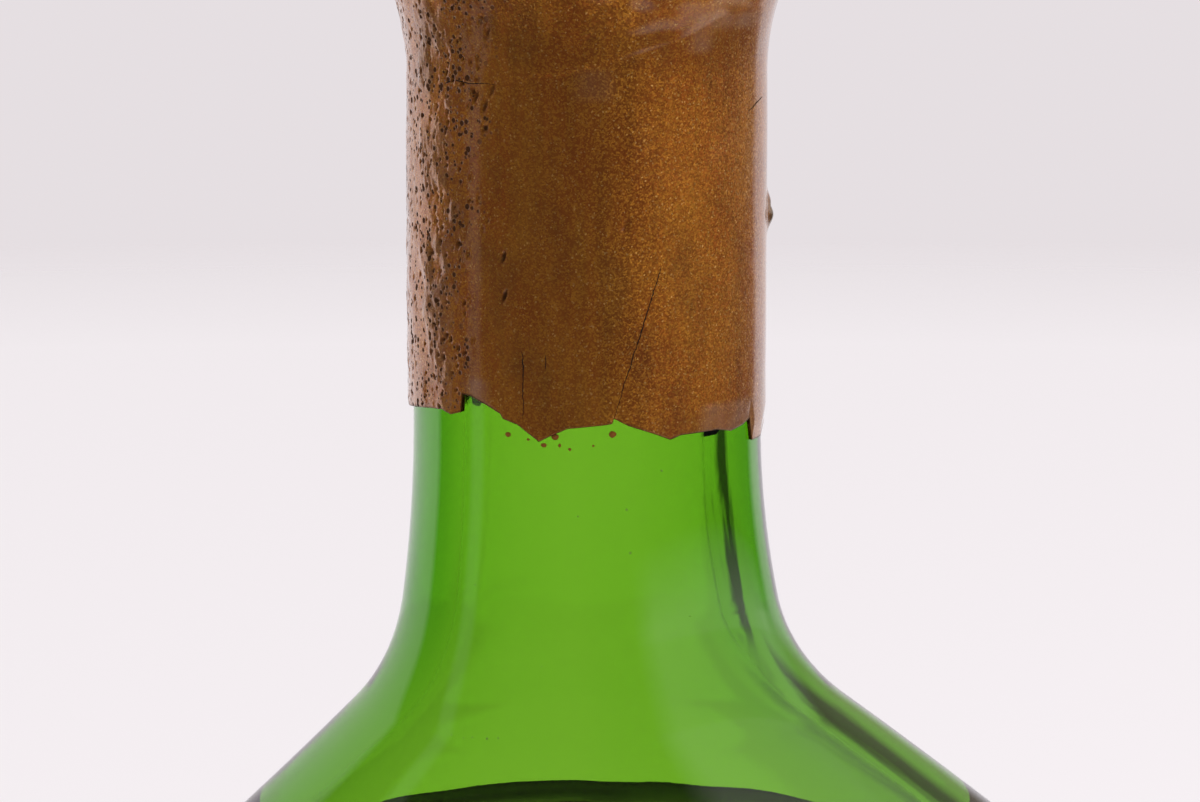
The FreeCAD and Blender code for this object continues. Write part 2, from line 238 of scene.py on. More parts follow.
def ellipse_ring(centre_x, half, deep, z, around=AROUND):
    """Points of a level ellipse, starting at the front and turning towards +X."""
    bearing = np.linspace(0, 2 * np.pi, around, endpoint=False)
    return np.column_stack((centre_x + half * np.sin(bearing), -deep * np.cos(bearing),
                            np.full(around, z)))


def shrunk(ring, share, centre_x, z):
    """A ring at a share of its size about a centre, at height z."""
    return np.column_stack((centre_x + (ring[:, 0] - centre_x) * share, ring[:, 1] * share,
                            np.full(len(ring), z)))


class FlaskForm:
    """The flask's outline: half width, half depth and centre at each place up the wall."""

    def __init__(self, glass):
        self.glass = glass
        self.body_half = GLASS_HIGH.x
        self.body_deep = GLASS_HIGH.y
        self.top = GLASS_HIGH.z
        self.neck_start = self.top - glass.straight_neck
        self.foot_inset = self.body_half - glass.foot_width / 2
        belly = glass.belly_height
        flank_radius = (belly ** 2 + self.foot_inset ** 2) / (2 * self.foot_inset)
        self.foot_turn = math.asin(belly / flank_radius)
        sweep = glass.sweep_angle
        drop = glass.sweep_radius - glass.flare_radius
        reach = self.body_half - glass.neck_radius - drop * (1 - math.cos(sweep))
        fall = self.neck_start - belly - drop * math.sin(sweep)
        self.slope = 2 * math.atan(reach / (fall + glass.shoulder_straight))
        straight = glass.shoulder_straight * math.cos(self.slope)
        shoulder_radius = (fall - straight) / math.sin(self.slope) - glass.flare_radius
        # Each arc where it is upright: half width, height, and its radius outwards and upwards.
        self.arcs = {
            "flank": (self.body_half, belly, -flank_radius, -flank_radius),
            "shoulder": (self.body_half, belly, -shoulder_radius, shoulder_radius),
            "flare": (glass.neck_radius + drop * (1 - math.cos(sweep)),
                      self.neck_start - drop * math.sin(sweep),
                      glass.flare_radius, -glass.flare_radius),
            "sweep": (glass.neck_radius, self.neck_start, glass.sweep_radius, -glass.sweep_radius),
        }

    def outline(self, arc, turned):
        """Half width and height of the outline at a turn of one of its arcs."""
        half, z, outwards, upwards = self.arcs[arc]
        return half + outwards * (1 - math.cos(turned)), z + upwards * math.sin(turned)

    def section(self, half, z, inset, turned, side):
        """Centre, half width, half depth and height of the wall, moved inwards by inset."""
        glass = self.glass
        if side < 0:
            share = (self.body_half - half) / self.foot_inset
            deep = self.body_deep - (self.body_deep - glass.foot_depth / 2) * share
            centre = 0.0
        else:
            share = (self.body_half - half) / (self.body_half - glass.neck_radius)
            deep = self.body_deep - (self.body_deep - glass.neck_radius) * share ** DEPTH_POWER
            centre = NECK_X * share ** SHIFT_POWER
        return (centre, half - inset * math.cos(turned), deep - inset * math.cos(FACE_LEAN * turned),
                z - side * inset * math.sin(turned))

    def wall(self, inset, neck_inset):
        """Sections from the foot to where the neck is straight, inset growing over the flare."""
        sweep = self.glass.sweep_angle
        shoulder_end = self.outline("shoulder", self.slope)
        flare_foot = self.outline("flare", self.slope)
        flare_tall = self.outline("flare", sweep)[1] - flare_foot[1]
        sections = []
        for turned in np.linspace(self.foot_turn, 0, ROWS["flank"], endpoint=False):
            sections.append(self.section(*self.outline("flank", turned), inset, turned, -1))
        for turned in np.linspace(0, self.slope, ROWS["shoulder"]):
            sections.append(self.section(*self.outline("shoulder", turned), inset, turned, 1))
        for share in np.linspace(0, 1, ROWS["straight"])[1:-1]:
            half, z = (low + (high - low) * share for low, high in zip(shoulder_end, flare_foot))
            sections.append(self.section(half, z, inset, self.slope, 1))
        for turned in np.linspace(self.slope, sweep, ROWS["flare"], endpoint=False):
            half, z = self.outline("flare", turned)
            grown = inset + (neck_inset - inset) * ((z - flare_foot[1]) / flare_tall)
            sections.append(self.section(half, z, grown, turned, 1))
        for turned in np.linspace(sweep, 0, ROWS["sweep"]):
            sections.append(self.section(*self.outline("sweep", turned), neck_inset, turned, 1))
        return sections


def rounded_foot(section, above, radius, z):
    """Rings from a level floor up to the wall, rolled round a ball of the given radius."""
    centre, half, deep, foot_z = section
    rise = above[3] - foot_z
    bearing = np.linspace(0, 2 * np.pi, AROUND, endpoint=False)
    along, across = np.sin(bearing), -np.cos(bearing)
    normal = np.column_stack((along / half, across / deep))
    normal /= np.linalg.norm(normal, axis=1)[:, None]
    growth = np.column_stack(((above[1] - half) * along, (above[2] - deep) * across)) / rise
    lean = np.arctan((growth * normal).sum(axis=1))
    base = np.column_stack((centre + half * along, deep * across))
    base = base + growth * (z - foot_z)
    rings = []
    for share in np.linspace(0, 1, FOOT_ROWS):
        rolled = (np.pi / 2 - lean) * share
        out = radius * np.tan(lean) - radius / np.cos(lean) + radius * np.sin(rolled)
        ring = base + normal * out[:, None]
        rings.append(np.column_stack((ring, z + radius * (1 - np.cos(rolled)))))
    return rings


def vessel(sections, radius, floor):
    """Rings from a rounded foot on its floor up through the sections of a wall."""
    rings = rounded_foot(sections[0], sections[1], radius, floor)
    lowest = rings[-1][:, 2].max() + CLEAR
    return rings + [ellipse_ring(*section) for section in sections if section[3] > lowest]


def fluted(ring, depth):
    """A ring of the inside wall, uneven by depth as blown glass is."""
    middle = ring[:, :2].mean(axis=0)
    out = ring[:, :2] - middle
    reach = np.linalg.norm(out, axis=1)
    bearing = np.arctan2(out[:, 0], -out[:, 1])
    rise = ring[:, 2] / MM
    uneven = sum(np.sin(waves * bearing + phase + rise * twist) * strength
                 for waves, phase, twist, strength in WAVES)
    moved = ring.copy()
    moved[:, :2] = middle + out * (1 + depth * uneven / reach)[:, None]
    return moved


def glass_mesh(glass):
    """The whole bottle as one closed skin: under the foot, outside, mouth, and inside to its floor."""
    form = FlaskForm(glass)
    hollow_half = glass.foot_width / 2 - glass.foot_ring
    hollow_deep = glass.foot_depth / 2 - glass.foot_ring
    rings = [ellipse_ring(0, hollow_half * math.cos(rise), hollow_deep * math.cos(rise),
                          glass.push_up * math.sin(rise))
             for rise in np.radians(np.linspace(80, 0, 9))]
    rings += vessel(form.wall(0.0, 0.0), glass.heel_radius, 0.0)

    ring_foot = form.top - glass.ring_depth
    ring_radius = glass.neck_radius + glass.ring_stands
    mouth = [(glass.neck_radius, z) for z in np.linspace(form.neck_start, ring_foot, 12)[1:]]
    mouth += [(ring_radius, ring_foot + glass.ring_bevel),
              (ring_radius, form.top - glass.lip_radius)]
    mouth += [(ring_radius - glass.lip_radius * (1 - math.cos(up)),
               form.top - glass.lip_radius * (1 - math.sin(up))) for up in np.radians(LIP_TURNS)]
    rings += [ellipse_ring(NECK_X, radius, radius, z) for radius, z in mouth]

    floor = DRINK_LOW.z
    wall = form.wall(glass.wall, glass.neck_radius - glass.bore_radius)[:-1]
    inside = vessel([section for section in wall if section[3] > floor],
                    glass.corner_radius, floor)
    bore = [ellipse_ring(NECK_X, glass.bore_radius, glass.bore_radius, z)
            for z in np.linspace(form.top, form.neck_start, 30)]
    rings += bore[:PLAIN_ROWS]
    rings += [fluted(ring, glass.flute) for ring in bore[PLAIN_ROWS:] + inside[::-1]]
    rings += [shrunk(inside[0], share, 0, floor) for share in (0.8, 0.6, 0.4, 0.2)]
    return skin("glass", rings, (0, 0, glass.push_up), (0, 0, floor))


def drink_mesh(glass, drink):
    """The spirit up to its level, reaching just into the wall and climbing it a little."""
    wall = FlaskForm(glass).wall(glass.wall - drink.overlap, glass.neck_radius - glass.bore_radius)
    floor = DRINK_LOW.z - drink.overlap
    level = DRINK_HIGH.z
    inside = [section for section in wall if floor < section[3] < level - LEVEL_GAP]
    sides = vessel(inside, glass.corner_radius, floor)
    rings = [shrunk(sides[0], share, 0, floor) for share in (0.2, 0.4, 0.6, 0.8)] + sides

    edge = level + drink.meniscus
    below, above = inside[-1], next(section for section in wall if section[3] >= level)
    share = (edge - below[3]) / (above[3] - below[3])
    centre, half, deep, _ = (low + (high - low) * share for low, high in zip(below, above))
    rings.append(ellipse_ring(centre, half, deep, edge))
    for away in MENISCUS_STEPS:
        climb = drink.meniscus * math.exp(-away / MENISCUS_FALL)
        rings.append(ellipse_ring(centre, half - away * MM, deep - away * MM, level + climb))
    surface = rings[-1]
    rings += [shrunk(surface, share, centre, level) for share in (0.75, 0.5, 0.25)]
    return skin("spirit", rings, (0, 0, floor), (centre, 0, level))


# ---------------------------------------------------------------- wax

# Bearings on the wax are in degrees from the front towards +X. Heights and sizes are in metres
# where they are times MM, and in millimetres elsewhere.
FRACTURE_FOOT = 212.0 * MM
BREAK_FADE = 6 * MM      # height over which the rows follow the broken edge less and less
TOOTH_SNAP = 0.6         # degrees within which a column of points moves onto a tooth's corner
NECK_ROUND = 14.9        # radius for distances round the wax on the neck
CREASE_ROUND = 15.2
ROUGH_FROM, ROUGH_TO, FRONT_TO = -104.0, -20.0, 100.0
TOP_SINK = 0.05 * MM     # middle of the top below its rim
HIDDEN_LIFT = 0.05 * MM  # inside rim of the wax above its broken edge
HIDDEN_TALL = 20 * MM    # height of the wax's inside, against the glass

# Broken lower edge: (bearing, rise above its foot).
FRACTURE = (
    (-80, 2.5), (-59, 3.0), (-52, 3.1), (-48, 2.8), (-43.5, 3.1), (-43, 4.6), (-39, 4.5), (-33, 3.9),
    (-28, 3.3), (-27, 2.9), (-22, 2.5), (-15, 1.2), (-12, 1.6), (-6, 2.3), (6, 2.6), (8, 2.7),
    (8.5, 3.1), (13, 2.5), (21, 1.8), (27, 1.2), (31, 1.5), (46, 1.6), (53, 1.3), (60, 1.6),
    (65, 2.0), (67, 0.1), (77, 0.1), (82, 0.8), (96, 1.6), (110, 1.1), (118, 2.2), (135, 2.8),
    (150, 1.5), (163, 1.9), (170, 3.0), (185, 2.4), (200, 1.2), (212, 2.0), (230, 2.6), (245, 1.4),
    (258, 2.0),
)
# Hairline cracks, each a line of (bearing, height).
CRACKS = (
    ((23.6, 227.2), (22.6, 226.2), (21.2, 225.3), (20.1, 224.4), (18.5, 223.2), (17.2, 222.0),
     (16.3, 221.3), (14.5, 220.2), (13.6, 219.2), (12.0, 218.2), (10.9, 217.0), (9.3, 215.9),
     (8.5, 214.9)),
    ((-20.4, 220.4), (-19.9, 219.0), (-20.2, 217.5), (-19.8, 216.2), (-20.3, 215.0)),
    ((-12.8, 220.2), (-12.6, 219.0)),
    ((-50.0, 241.5), (-45.0, 241.8), (-39.0, 241.6), (-33.0, 241.7), (-29.0, 241.6)),
    ((74.0, 240.0), (68.0, 239.6), (61.4, 239.0)),
)
CRACK_STEP = 0.22
CRACK_WANDER = 0.10      # degrees
CRACK_LIFT = 0.012       # above the wax, so that both don't lie in one place

# Fold below the mouth ring, a line of (bearing, height).
NECK_CREASE = ((-30.0, 241.7), (-21.9, 241.5), (-18.0, 241.8), (-8.4, 242.1), (4.0, 242.8),
               (16.5, 243.9), (29.5, 244.9), (42.0, 246.8), (60.0, 247.2))
CREASE_WIDE, CREASE_DEEP = 0.8, 0.06
# Pits of the rough side, and lone pits as (bearing, height, share of the full depth).
PIT_SPACING, PIT_RADIUS = 0.74, 0.33
PITS = ((-26.7, 227.9, 1.0), (-26.4, 224.8, 1.0), (12.2, 230.6, 0.45), (-31.0, 245.8, 0.6),
        (0.6, 245.3, 0.3), (-33.0, 239.9, 0.8), (-36.5, 240.6, 0.8), (-30.5, 241.2, 0.7))
LONE_HALF, LONE_TALL = 0.24, 0.58
LONE_LEAN = 1.2          # degrees for each mm of height
# Patches of painted reflection, pale reflections of the soft boxes painted on the wax: (from bearing,
# to bearing, from height, to height, strength).
PAINTED_REFLECTIONS = ((39, 69, 212.5, 215.8, 0.8), (-40, -33, 215.2, 218.0, 0.9), (34, 66, 246.0, 247.2, 0.7),
          (33, 41, 244.2, 246.4, 0.6), (-3, 8, 240.5, 243.0, 0.25))
# Where the rough side ends: heights, and the bearing at each.
ROUGH_HEIGHTS, ROUGH_ENDS = (216, 229, 241, 248, 262), (-39, -38, -33, -29, -28)
CRUST_MIDDLE = -54       # bearing of the crusted ridge
DROP_BEARING, DROP_HEIGHT, DROP_STANDS = 90, 230.0, 0.55
DROP_HALF, TAIL_HALF = 2.6, 1.7      # half widths of the drop and its tail in degrees
RELIEF_SINK = 0.13       # mean of the relief below the solid's surface
# Crumbs of wax: (bearing, height, size). Specks of dust: (distance towards +X, height, size).
CRUMBS = ((-26.0, 213.6, 0.24), (-13.8, 212.9, 0.20), (-10.2, 213.6, 0.26), (-8.6, 212.9, 0.16),
          (-5.4, 212.6, 0.13), (8.3, 213.8, 0.26), (-19.0, 213.3, 0.12), (2.1, 212.9, 0.10))
SPECKS = ((-0.5, 207.7, 0.07), (2.3, 210.7, 0.07), (-0.2, 204.2, 0.07), (-4.4, 207.2, 0.06),
          (-12.7, 201.2, 0.06), (-11.7, 189.3, 0.09), (-14.6, 189.3, 0.06), (-13.6, 189.2, 0.05),
          (-12.9, 189.3, 0.05), (-10.8, 189.4, 0.06), (4.6, 198.8, 0.05), (-7.3, 195.1, 0.05))
LUMP_AROUND, LUMP_LEVELS = 9, 4
# Shares of a lump's size: its highest row, its top, and how far it is sunk into the glass.
LUMP_RISE, LUMP_TOP, LUMP_SINK = 0.7, 0.68, 0.08
# Distances from which lines are cast onto the wax, and onto the glass from round it and from ahead.
ROUND_WAX, ROUND_GLASS, AHEAD = 20 * MM, 30 * MM, 100 * MM
# Noises of the relief, slow, medium, lump, fine and flow: (size, squeeze of heights, seed).
NOISES = ((7, 1, 2), (2.6, 1, 1), (1.1, 0.7, 4), (0.42, 1, 5), (1.5, 0.1, 3))


def ramp(value, low, high):
    """0 below low, 1 above high, smooth between them."""
    share = np.clip((value - low) / (high - low), 0, 1)
    return share * share * (3 - 2 * share)


def speckle(points, scale, seed):
    """Smooth noise from -1 to 1 at each point, in lumps of about the given size."""
    shift = Vector((seed * 7.3, seed * 3.1, seed * 5.7))
    return np.array([noise.noise(Vector(point) / scale + shift) for point in points])


def pits(points, spacing, size, seed):
    """Depth from 0 to 1 of round pits scattered about spacing apart, of about the given radius."""
    shift = Vector((seed * 1.7, seed * 9.2, seed * 4.4))
    depth = np.empty(len(points))
    for index, point in enumerate(points):
        near, cells = noise.voronoi(Vector(point) / spacing + shift)
        wide = size * (0.35 + 0.65 * abs(noise.noise(cells[0] * 3.7)) * 2)
        depth[index] = max(0.0, 1 - near[0] * spacing / wide)
    return depth


def stroke(bearing, z, path, radius, width):
    """1 along a line of (bearing, height) points on the wax, falling to 0 at width."""
    across = np.radians(bearing) * radius
    nearest = np.full(len(bearing), 1e9)
    for (b0, z0), (b1, z1) in zip(path, path[1:]):
        start = np.array((math.radians(b0) * radius, z0 * MM))
        step = np.array((math.radians(b1) * radius, z1 * MM)) - start
        spot = np.column_stack((across, z)) - start
        share = np.clip(spot @ step / (step @ step), 0, 1)
        nearest = np.minimum(nearest, np.linalg.norm(spot - share[:, None] * step, axis=1))
    return np.clip(1 - nearest / width, 0, 1)


def wax_columns(wax, glass):
    """Bearings of the columns of points, closer together where the wax is rough."""
    degree = math.radians(1) * (glass.neck_radius + wax.on_neck)
    spans = ((ROUGH_FROM, ROUGH_TO, wax.fine_grain), (ROUGH_TO, FRONT_TO, wax.grain),
             (FRONT_TO, ROUGH_FROM + 360, wax.back_grain))
    bearing = np.concatenate([np.linspace(start, end, int((end - start) * degree / step),
                                          endpoint=False) for start, end, step in spans])
    for mark, _ in FRACTURE:
        nearest = np.argmin(np.abs(bearing - mark))
        if abs(bearing[nearest] - mark) < TOOTH_SNAP:
            bearing[nearest] = mark
    return bearing


def wax_profile(wax, glass):
    """Radius and height of each row of points, from the broken edge to the middle of the top."""
    neck = glass.neck_radius + wax.on_neck
    ring = glass.neck_radius + glass.ring_stands + wax.on_ring
    ring_top = WAX_HIGH.z - wax.top_round
    hollow_end = GLASS_HIGH.z - glass.ring_depth + glass.ring_bevel
    swell = ring - neck
    hollow_tall = math.sqrt(2 * wax.sag_radius * swell - swell ** 2)
    hollow_foot = hollow_end - hollow_tall

    def rows(low, high):
        """Heights of the rows between two others."""
        return np.linspace(low, high, int((high - low) / wax.row_grain), endpoint=False)

    profile = [(neck, z) for z in rows(FRACTURE_FOOT, hollow_foot)]
    profile += [(neck + wax.sag_radius - math.sqrt(wax.sag_radius ** 2 - (z - hollow_foot) ** 2), z)
                for z in rows(hollow_foot, hollow_end)]
    profile += [(ring, z) for z in rows(hollow_end, ring_top)]
    profile += [(ring - wax.top_round * (1 - math.cos(up)), ring_top + wax.top_round * math.sin(up))
                for up in np.radians(np.linspace(0, 90, 11))]
    profile += [((ring - wax.top_round) * share, WAX_HIGH.z)
                for share in np.linspace(1, 0.04, 14)[1:]]
    return np.array(profile)


def wax_mesh(wax, glass):
    """Wax over neck, ring and mouth: outside with its relief, broken edge, and inside on the glass."""
    bearing = wax_columns(wax, glass)
    sine, cosine = np.sin(np.radians(bearing)), np.cos(np.radians(bearing))
    profile = wax_profile(wax, glass)
    direction = np.gradient(profile, axis=0)
    direction /= np.linalg.norm(direction, axis=1)[:, None]
    radius, height = (np.repeat(column[:, None], len(bearing), axis=1) for column in profile.T)
    edge = FRACTURE_FOOT + np.interp(bearing, *zip(*FRACTURE)) * MM
    even_from = FRACTURE_FOOT + BREAK_FADE
    squeezed = edge + (height - FRACTURE_FOOT) * (even_from - edge) / (even_from - FRACTURE_FOOT)
    height = np.where(height < even_from, squeezed, height)

    points = np.column_stack(((radius * sine).ravel(), (-radius * cosine).ravel(), height.ravel()))
    lift, masks = wax_relief(points, np.tile(bearing, len(profile)), height.ravel(), wax,
                             (height - edge).ravel())
    lift = lift.reshape(height.shape)
    radius = radius + lift * direction[:, 1:]
    height = np.minimum(height - lift * direction[:, :1], WAX_HIGH.z)

    def ring(out, z):
        """Points round the neck's axis, a distance out."""
        return np.column_stack((NECK_X + out * sine, -out * cosine, z))

    hidden = ring(glass.neck_radius - wax.seat, edge + HIDDEN_LIFT)
    lowest = ring(radius[0], height[0])
    rings = [hidden + np.array((0, 0, HIDDEN_TALL)), hidden]
    rings += [hidden + (lowest - hidden) * share for share in (0.35, 0.7)]
    lead = len(rings) * len(bearing)
    rings += [ring(out, z) for out, z in zip(radius, height)]
    mesh = skin("wax", rings, None, (NECK_X, 0, WAX_HIGH.z - TOP_SINK))
    # The hidden inside and the broken face get the full edge mask, which paints them in shade.
    for name, values in masks.items():
        broken = np.full(lead, 1.0 if name == "edge" else 0.0)
        store = mesh.attributes.new(name, "FLOAT", "POINT")
        store.data.foreach_set("value", np.concatenate((broken, values, [0.0])).astype(np.float32))
    return mesh


def rough_side(bearing, z, medium, lump):
    """Masks of the rough side and of the crusted ridge on it."""
    border = np.interp(z, np.array(ROUGH_HEIGHTS) * MM, ROUGH_ENDS)
    rough = ramp(border + medium * 9 - bearing, -3.0, 4.0)
    ridge = bearing - CRUST_MIDDLE + medium * 7
    return rough, ramp(medium + lump * 0.6, -0.3, 0.2) * rough * ramp(-np.abs(ridge), -11, -4)


def pit_mask(points, bearing, up, rough, medium):
    """Depth from 0 to 1 of the pits: many on the rough side, and the lone ones."""
    pit = ramp(pits(points, PIT_SPACING * MM, PIT_RADIUS * MM, 6), 0.18, 0.6) * rough
    pit = pit * (0.5 + 0.5 * ramp(bearing + medium * 12, -66, -52))
    for seat, height, deep in PITS:
        aside = np.radians(bearing - seat - (up - height) * LONE_LEAN) * NECK_ROUND
        spot = np.hypot(aside / LONE_HALF, (up - height) / LONE_TALL)
        pit = np.maximum(pit, (1 - ramp(spot, 0.5, 1.1)) * deep)
    return pit


def ring_flow(bearing, z):
    """Where wax has run over the mouth ring, above the crease at its foot."""
    above = z - np.interp(bearing, *zip(*NECK_CREASE)) * MM
    return ramp(above, 0, CREASE_WIDE * MM) * ramp(bearing, -34, -24) * ramp(-bearing, -75, -55)


def drop_mask(bearing, up):
    """The small drop at the right, and its tail above."""
    away, rise = bearing - DROP_BEARING, up - DROP_HEIGHT
    tail = np.exp(-(away / TAIL_HALF) ** 2) * ramp(rise, -0.4, 0.2) * ramp(-rise, -2.4, -1.0) * 0.6
    return np.maximum(np.exp(-(away / DROP_HALF) ** 2) * np.exp(-rise ** 2), tail)


def painted_reflection_mask(bearing, up, lump):
    """The patches of painted reflection, pale reflections of the soft boxes."""
    painted_reflection = np.zeros(len(bearing))
    for left, right, low, high, strength in PAINTED_REFLECTIONS:
        across = ramp(bearing, left - 3, left + 3) * ramp(-bearing, -right - 3, -right + 3)
        upward = ramp(up, low - 0.5, low + 0.3) * ramp(-up, -high - 0.3, -high + 0.5)
        painted_reflection = np.maximum(painted_reflection, across * upward * strength)
    return np.clip(painted_reflection * (0.75 + 0.5 * lump), 0, 1)


def wax_relief(points, bearing, z, wax, above_edge):
    """Height of the relief in metres at each point, and the masks that colour it."""
    slow, medium, lump, fine, flow = (speckle(points * np.array((1, 1, squeeze)), size * MM, seed)
                                      for size, squeeze, seed in NOISES)
    up = z / MM
    rough, crust = rough_side(bearing, z, medium, lump)
    pit = pit_mask(points, bearing, up, rough, medium)
    drip = drop_mask(bearing, up)
    crease = ramp(stroke(bearing, z, NECK_CREASE, CREASE_ROUND * MM, CREASE_WIDE * MM), 0, 1)

    # Lift is in millimetres until it is returned.
    lift = -RELIEF_SINK + slow * 0.06 + flow * 0.012 + medium * 0.014
    lift = lift + rough * (0.01 + medium * 0.05 + lump * 0.035 + fine * 0.012)
    lift = lift + crust * (0.04 + np.abs(lump) * 0.15 + np.abs(fine) * 0.10)
    lift = lift - pit * (wax.pit_depth / MM)
    lift = lift - crease * CREASE_DEEP * ramp(-bearing, -40, 0)
    lift = lift + ring_flow(bearing, z) * (0.03 + 0.09 * medium)
    lift = lift + drip * DROP_STANDS
    # The wax thins towards its broken edge, over a longer way at the right.
    thin = ramp(bearing, 20, 40)
    lift = lift - (1 - ramp(above_edge, 0, (0.35 + 1.4 * thin) * MM)) * (0.05 + 0.12 * thin)
    # The edge mask paints shade along the broken edge.
    masks = {"rough": rough, "crust": crust, "pit": pit, "painted_reflection": painted_reflection_mask(bearing, up, lump),
             "drip": np.clip(drip * 1.4, 0, 1), "edge": 1 - ramp(above_edge, 0, 0.22 * MM)}
    return lift * MM, masks


def beside_neck(bearing, z, radius):
    """A point at a bearing and a distance from the neck's axis, all but the bearing in metres."""
    turned = math.radians(bearing)
    return Vector((NECK_X + radius * math.sin(turned), -radius * math.cos(turned), z))


def touch(piece, start, toward):
    """Where a line from start meets a piece, and which way the piece faces there."""
    hit, spot, normal, _ = bpy.data.objects[piece].ray_cast(start, toward)
    if not hit:
        raise RuntimeError(f"nothing of {piece} in the way from {tuple(start)}")
    return spot, normal


def toward_neck(start):
    """The level direction from a point to the neck's axis."""
    return (Vector((NECK_X, 0, start.z)) - start).normalized()


def crack_mesh(wax):
    """Painted shade of hairline cracks: narrow dark strips that lie on the wax."""
    points, faces = [], []
    dice = np.random.default_rng(SEED)
    for path in CRACKS:
        turns, rises = np.array(path, float).T
        runs = np.hypot(np.radians(np.diff(turns)) * NECK_ROUND, np.diff(rises))
        along = np.concatenate(([0], np.cumsum(runs)))
        steps = max(4, int(along[-1] / CRACK_STEP))
        places = np.linspace(0, along[-1], steps)
        bearings = np.interp(places, along, turns) + dice.normal(0, CRACK_WANDER, steps)
        heights = np.interp(places, along, rises)
        # Widest about a third of the way along, and thin at both ends.
        wide = wax.crack * np.sin(np.pi * (places / along[-1]) ** 0.6 * 0.98 + 0.05) ** 0.5
        wide = wide * dice.uniform(0.55, 1.0, steps)
        spine = []
        for bearing, z in zip(bearings, heights):
            outside = beside_neck(bearing, z * MM, ROUND_WAX)
            spot, normal = touch("wax", outside, toward_neck(outside))
            spine.append((spot + normal * CRACK_LIFT * MM, normal))
        for index, (spot, normal) in enumerate(spine):
            ahead = spine[min(index + 1, steps - 1)][0] - spine[max(index - 1, 0)][0]
            side = ahead.cross(normal).normalized() * float(wide[index]) / 2
            points += [spot - side, spot + side]
            if index:
                last = len(points)
                faces.append((last - 4, last - 3, last - 1, last - 2))
    return mesh_of("cracks", points, faces)


def lumps_mesh(name, seats, flat):
    """Small uneven lumps on the glass, round the neck or, where flat, on the front."""
    dice = np.random.default_rng(SEED + len(seats))
    points, faces = [], []
    for across, z, size in seats:
        if flat:
            outside = Vector((across * MM, -AHEAD, z * MM))
            spot, normal = touch("bottle", outside, Vector((0, 1, 0)))
        else:
            outside = beside_neck(across, z * MM, ROUND_GLASS)
            spot, normal = touch("bottle", outside, toward_neck(outside))
        side = normal.cross(Vector((0, 0, 1))).normalized()
        up = normal.cross(side)
        first = len(points)
        stretch = dice.uniform(0.7, 1.4)
        for level in range(LUMP_LEVELS):
            lean = math.pi / 2 * level / (LUMP_LEVELS - 0.5)
            for step in range(LUMP_AROUND):
                turned = 2 * math.pi * step / LUMP_AROUND
                reach = size * MM * math.cos(lean) * dice.uniform(0.75, 1.15)
                points.append(spot + side * reach * math.cos(turned) * stretch
                              + up * reach * math.sin(turned)
                              + normal * size * MM * (LUMP_RISE * math.sin(lean) - LUMP_SINK))
        points.append(spot + normal * size * MM * LUMP_TOP)
        for level in range(LUMP_LEVELS - 1):
            for step in range(LUMP_AROUND):
                a = first + level * LUMP_AROUND + step
                b = first + level * LUMP_AROUND + (step + 1) % LUMP_AROUND
                faces.append((a, b, b + LUMP_AROUND, a + LUMP_AROUND))
        last = first + (LUMP_LEVELS - 1) * LUMP_AROUND
        faces += [(last + step, last + (step + 1) % LUMP_AROUND, last + LUMP_AROUND)
                  for step in range(LUMP_AROUND)]
        faces.append(tuple(first + step for step in reversed(range(LUMP_AROUND))))
    return mesh_of(name, points, faces)


# ---------------------------------------------------------------- materials

class Wiring:
    """Makes and joins the nodes of one tree."""

    def __init__(self, tree):
        self.tree = tree

    def make(self, kind, *values, settings=None, **inputs):
        """A node with its settings, and its inputs set or linked in order or by name, _ for a space."""
        made = self.tree.nodes.new(kind)
        for name, value in (settings or {}).items():
            setattr(made, name, value)
        for socket, value in zip(made.inputs, values):
            self.join(value, socket)
        for name, value in inputs.items():
            self.join(value, made.inputs[name.replace("_", " ")])
        return made

    def join(self, value, socket):
        """Links a socket, or stores a plain value."""
        if isinstance(value, bpy.types.NodeSocket):
            self.tree.links.new(value, socket)
        else:
            socket.default_value = value

    def maths(self, operation, *values):
        """A Math node's result."""
        return self.make("ShaderNodeMath", *values, settings={"operation": operation}).outputs[0]

    def times(self, first, second):
        """One value times another."""
        return self.maths("MULTIPLY", first, second)

    def most(self, first, *others):
        """The largest of some values."""
        for other in others:
            first = self.maths("MAXIMUM", first, other)
        return first

    def vector(self, operation, *values):
        """A Vector Math node."""
        return self.make("ShaderNodeVectorMath", *values, settings={"operation": operation})

    def layered(self, colour, *layers):
        """A colour with others laid over it in turn, each a share and a colour."""
        for share, over in layers:
            made = self.make("ShaderNodeMix", settings={"data_type": "RGBA"},
                             Factor=share, A=colour, B=over)
            colour = made.outputs["Result"]
        return colour

    def between(self, value, low, high, start=0.0, end=1.0):
        """A Map Range node's result, clamped."""
        made = self.make("ShaderNodeMapRange", Value=value, From_Min=low, From_Max=high,
                         To_Min=start, To_Max=end)
        return made.outputs["Result"]

    def mask(self, name):
        """A mask stored in the mesh."""
        return self.make("ShaderNodeAttribute", settings={"attribute_name": name}).outputs["Fac"]

    def stretched(self, spot, scale):
        """A place scaled by a different amount along each axis."""
        return self.make("ShaderNodeMapping", Vector=spot, Scale=scale).outputs[0]

    def noise(self, spot, scale, detail=2.0, roughness=0.5):
        """A noise texture's value."""
        made = self.make("ShaderNodeTexNoise", Vector=spot, Scale=scale, Detail=detail,
                         Roughness=roughness)
        return made.outputs["Fac"]

    def cells(self, spot, scale):
        """A Voronoi texture's distance and colour, and its colour as three random values."""
        made = self.make("ShaderNodeTexVoronoi", Vector=spot, Scale=scale)
        dice = self.make("ShaderNodeSeparateColor", made.outputs["Color"])
        return made.outputs["Distance"], made.outputs["Color"], dice.outputs


def new_material(name):
    """A material without nodes, and a maker of nodes for it."""
    material = bpy.data.materials.new(name)
    material.use_nodes = True
    material.node_tree.nodes.clear()
    return material, Wiring(material.node_tree)


def rgba(colour, strength=1.0):
    """A colour times a strength, with full opacity."""
    return (*(part * strength for part in colour), 1.0)


